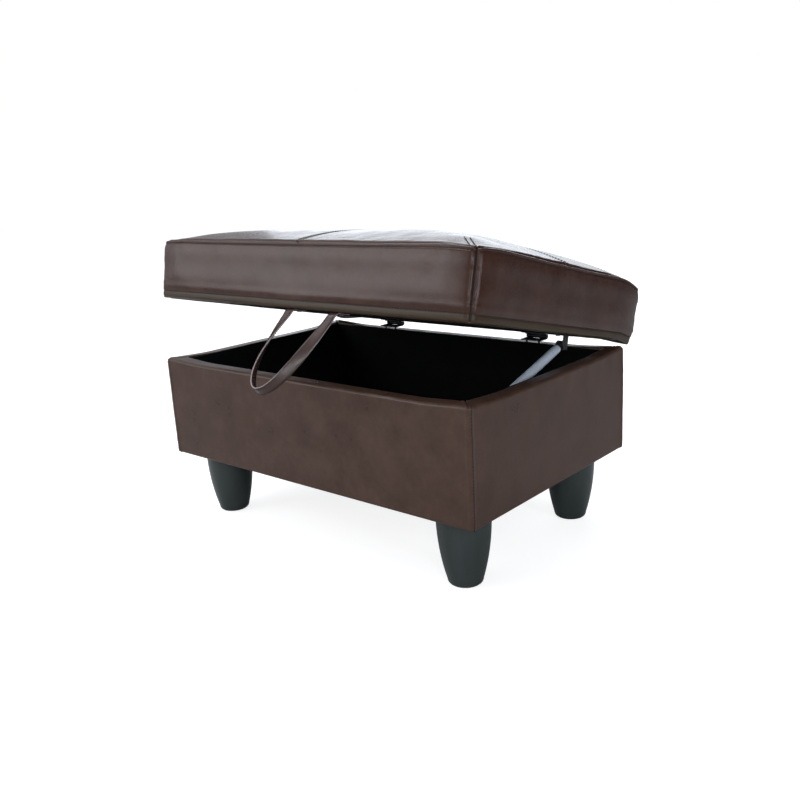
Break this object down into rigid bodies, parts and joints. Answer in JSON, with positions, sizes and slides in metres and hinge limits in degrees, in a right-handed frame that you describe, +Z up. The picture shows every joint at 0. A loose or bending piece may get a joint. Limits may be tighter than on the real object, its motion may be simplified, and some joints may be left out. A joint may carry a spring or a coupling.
{
  "type": "storage ottoman",
  "caption": "Low rectangular leather storage ottoman with a padded hinged lid held open by a gas strut, a leather pull strap and round tapered legs.",
  "frame": {"origin": "centre of the bounding box on the floor, with the lid at its stored, partly open angle", "axes": "+X to the right along the long front, +Y to the back where the hinges are, +Z up"},
  "size_m": [0.762, 0.6618, 0.5561],
  "materials": {
    "leather": "satin",
    "plywood": "matte",
    "lining": "matte",
    "foam": "matte",
    "leg_finish": "satin",
    "strut_metal": "satin",
    "black_metal": "satin",
    "steel": "satin"
  },
  "bodies": {
    "base": {"panel_front": "plywood", "panel_back": "plywood", "panel_left": "plywood", "panel_right": "plywood", "corner_blocks": "plywood", "cleats_long": "plywood", "cleats_short": "plywood", "floor_panel": "plywood", "cover_front": "leather", "cover_back": "leather", "cover_left": "leather", "cover_right": "leather", "lining_front": "lining", "lining_back": "lining", "lining_left": "lining", "lining_right": "lining", "lining_floor": "lining", "dust_cover": "lining", "leg_front_left": "leg_finish", "leg_front_right": "leg_finish", "leg_rear_left": "leg_finish", "leg_rear_right": "leg_finish", "hanger_bolts": "steel", "tee_nuts": "steel", "hinge_base_leaf_left": "steel", "hinge_base_leaf_right": "steel", "hinge_pin_left": "steel", "hinge_pin_right": "steel", "base_hinge_screws": "steel", "strut_base_bracket": "black_metal", "strut_bracket_screws": "steel"},
    "lid": {"hinge_lid_leaf_left": "steel", "hinge_lid_leaf_right": "steel", "lid_hinge_screws": "steel", "lid_board": "plywood", "lid_foam": "foam", "lid_top_front_left": "leather", "lid_top_front_right": "leather", "lid_top_rear_left": "leather", "lid_top_rear_right": "leather", "lid_border_front": "leather", "lid_border_back": "leather", "lid_border_left": "leather", "lid_border_right": "leather", "lid_lining": "lining", "strut_lid_bracket": "black_metal", "strut_lid_screws": "steel", "strap_ends": "leather", "strap_screws": "steel"},
    "strut_tube": {"strut_tube": "strut_metal", "strut_gland": "black_metal", "strut_lid_socket": "black_metal"},
    "strut_rod": {"strut_rod": "strut_metal", "strut_piston": "steel", "strut_base_socket": "black_metal"},
    "strap": {"strap_loop": "leather"}
  },
  "joints": [
    {"name": "lid_hinge", "type": "hinge", "parent": "base", "child": "lid", "pos_m": [0, 0.28723, 0.3364], "axis": [-1, 0, 0], "range_deg": [-13, 62]},
    {"name": "strut_swing", "type": "hinge", "parent": "lid", "child": "strut_tube", "pos_m": [0.328, 0.14133, 0.35571], "axis": [1, 0, 0], "range_deg": [-16, 75.2]},
    {"name": "rod_slide", "type": "slide", "parent": "strut_tube", "child": "strut_rod", "axis": [0, -0.9588, -0.284], "range_m": [-0.0285, 0.1345]},
    {"name": "strap_swing", "type": "hinge", "parent": "lid", "child": "strap", "pos_m": [0.048, -0.19421, 0.45155], "axis": [-1, 0, 0], "range_deg": [-15, 50], "stiffness_Nm_per_rad": 0.15, "springref_deg": 5.73}
  ],
  "couplings": [
    {"joint": "strut_swing", "follows": "lid_hinge", "ratio": 1.2081},
    {"joint": "rod_slide", "follows": "lid_hinge", "m_per_rad": 0.12389}
  ]
}
